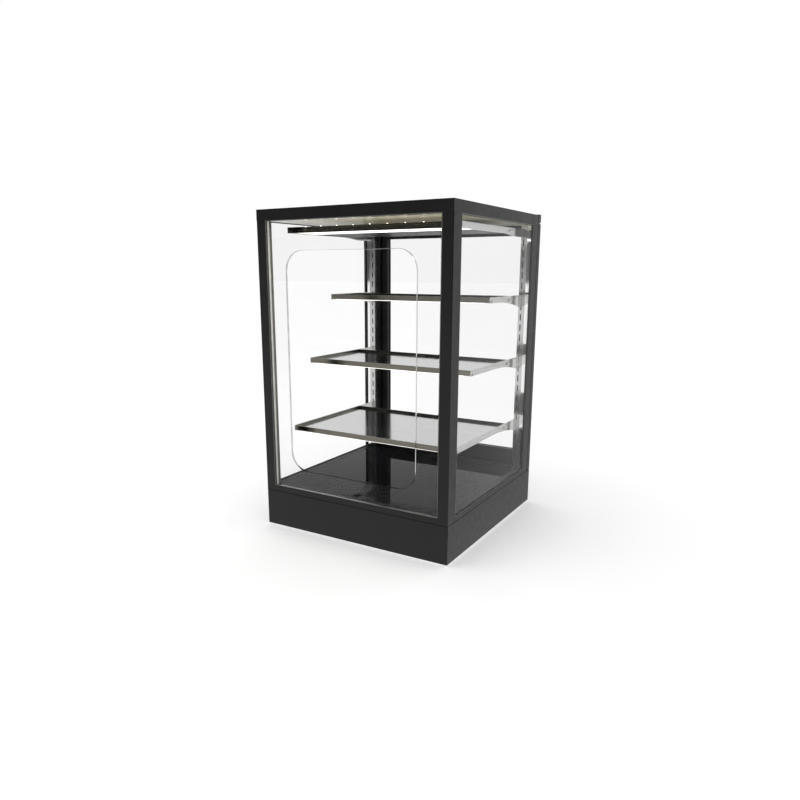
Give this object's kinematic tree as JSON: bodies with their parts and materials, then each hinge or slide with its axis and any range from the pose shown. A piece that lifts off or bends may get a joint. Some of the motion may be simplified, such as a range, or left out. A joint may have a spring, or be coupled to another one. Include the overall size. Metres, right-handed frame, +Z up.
{
  "type": "hot food display case",
  "caption": "Counter-top heated display case with a rounded self-service opening, stepped shelves, lamp canopy and hinged rear glass door.",
  "frame": {"origin": "middle of the footprint, on the plane that the feet stand on", "axes": "+Z up, -Y towards the customer's side, +Y towards the operator's side with the door"},
  "size_m": [0.5, 0.504, 0.7606],
  "materials": {
    "black_paint": "satin powder coat",
    "zinc_steel": "zinc plated",
    "satin_steel": "satin",
    "polished_steel": "mirror polished stainless",
    "clear_glass": "clear",
    "black_glass": "glossy black glass",
    "black_seal": "matt",
    "black_plastic": "fine texture",
    "green_plastic": "translucent green",
    "pale_plastic": "matt",
    "lamp_diffuser": "milky, lit from inside",
    "brass": "plain",
    "heater_steel": "heat darkened steel",
    "copper_probe": "copper",
    "mineral_wool": "matt fibre"
  },
  "bodies": {
    "case": {"screws": "zinc_steel", "foot_pads": "black_seal", "bottom_plate": "zinc_steel", "base_shell": "black_paint", "control_panel": "black_paint", "power_inlet": "black_plastic", "inlet_pins": "brass", "thermostat_body": "pale_plastic", "thermostat_probe": "copper_probe", "switch_housings": "black_plastic", "terminal_block": "pale_plastic", "led_driver": "zinc_steel", "heating_element": "heater_steel", "heat_reflector": "zinc_steel", "insulation_slab": "mineral_wool", "floor_support": "zinc_steel", "floor_glass": "black_glass", "front_left_post": "black_paint", "front_right_post": "black_paint", "rear_left_post": "black_paint", "rear_right_post": "black_paint", "front_sill": "black_paint", "left_sill": "black_paint", "right_sill": "black_paint", "rear_sill": "black_paint", "front_top_rail": "black_paint", "left_top_rail": "black_paint", "right_top_rail": "black_paint", "rear_top_rail": "black_paint", "roof_panel": "black_paint", "ceiling_panel": "satin_steel", "front_glass": "clear_glass", "left_glass": "clear_glass", "right_glass": "clear_glass", "glazing_joints": "black_seal", "left_upright": "satin_steel", "right_upright": "satin_steel", "shelf_lower": "polished_steel", "shelf_middle": "polished_steel", "shelf_upper": "polished_steel", "brackets_lower": "satin_steel", "brackets_middle": "satin_steel", "brackets_upper": "satin_steel", "brackets_canopy": "satin_steel", "shelf_lamp_lower": "lamp_diffuser", "shelf_lamp_middle": "lamp_diffuser", "shelf_lamp_upper": "lamp_diffuser", "canopy_housing": "polished_steel", "canopy_diffuser": "lamp_diffuser", "canopy_cover": "black_paint", "door_pivots": "zinc_steel", "door_catch": "black_paint"},
    "rear_door": {"door_grip_stile": "black_paint", "door_hinge_stile": "black_paint", "door_rails": "black_paint", "door_glass": "clear_glass", "door_seal": "black_seal"},
    "knob": {"thermostat_knob": "black_plastic"},
    "power_switch": {"power_rocker": "green_plastic"},
    "light_switch": {"light_rocker": "black_plastic"}
  },
  "joints": [
    {"name": "rear_door_hinge", "type": "hinge", "parent": "case", "child": "rear_door", "pos_m": [0.244, 0.246, 0.4], "axis": [0, 0, -1], "range_deg": [0, 110]},
    {"name": "thermostat_turn", "type": "hinge", "parent": "case", "child": "knob", "pos_m": [-0.095, 0.23, 0.048], "axis": [0, -1, 0], "range_deg": [0, 270]},
    {"name": "power_tilt", "type": "hinge", "parent": "case", "child": "power_switch", "pos_m": [0.015, 0.228, 0.048], "axis": [-1, 0, 0], "range_deg": [0, 16]},
    {"name": "light_tilt", "type": "hinge", "parent": "case", "child": "light_switch", "pos_m": [0.06, 0.228, 0.048], "axis": [-1, 0, 0], "range_deg": [0, 16]}
  ]
}
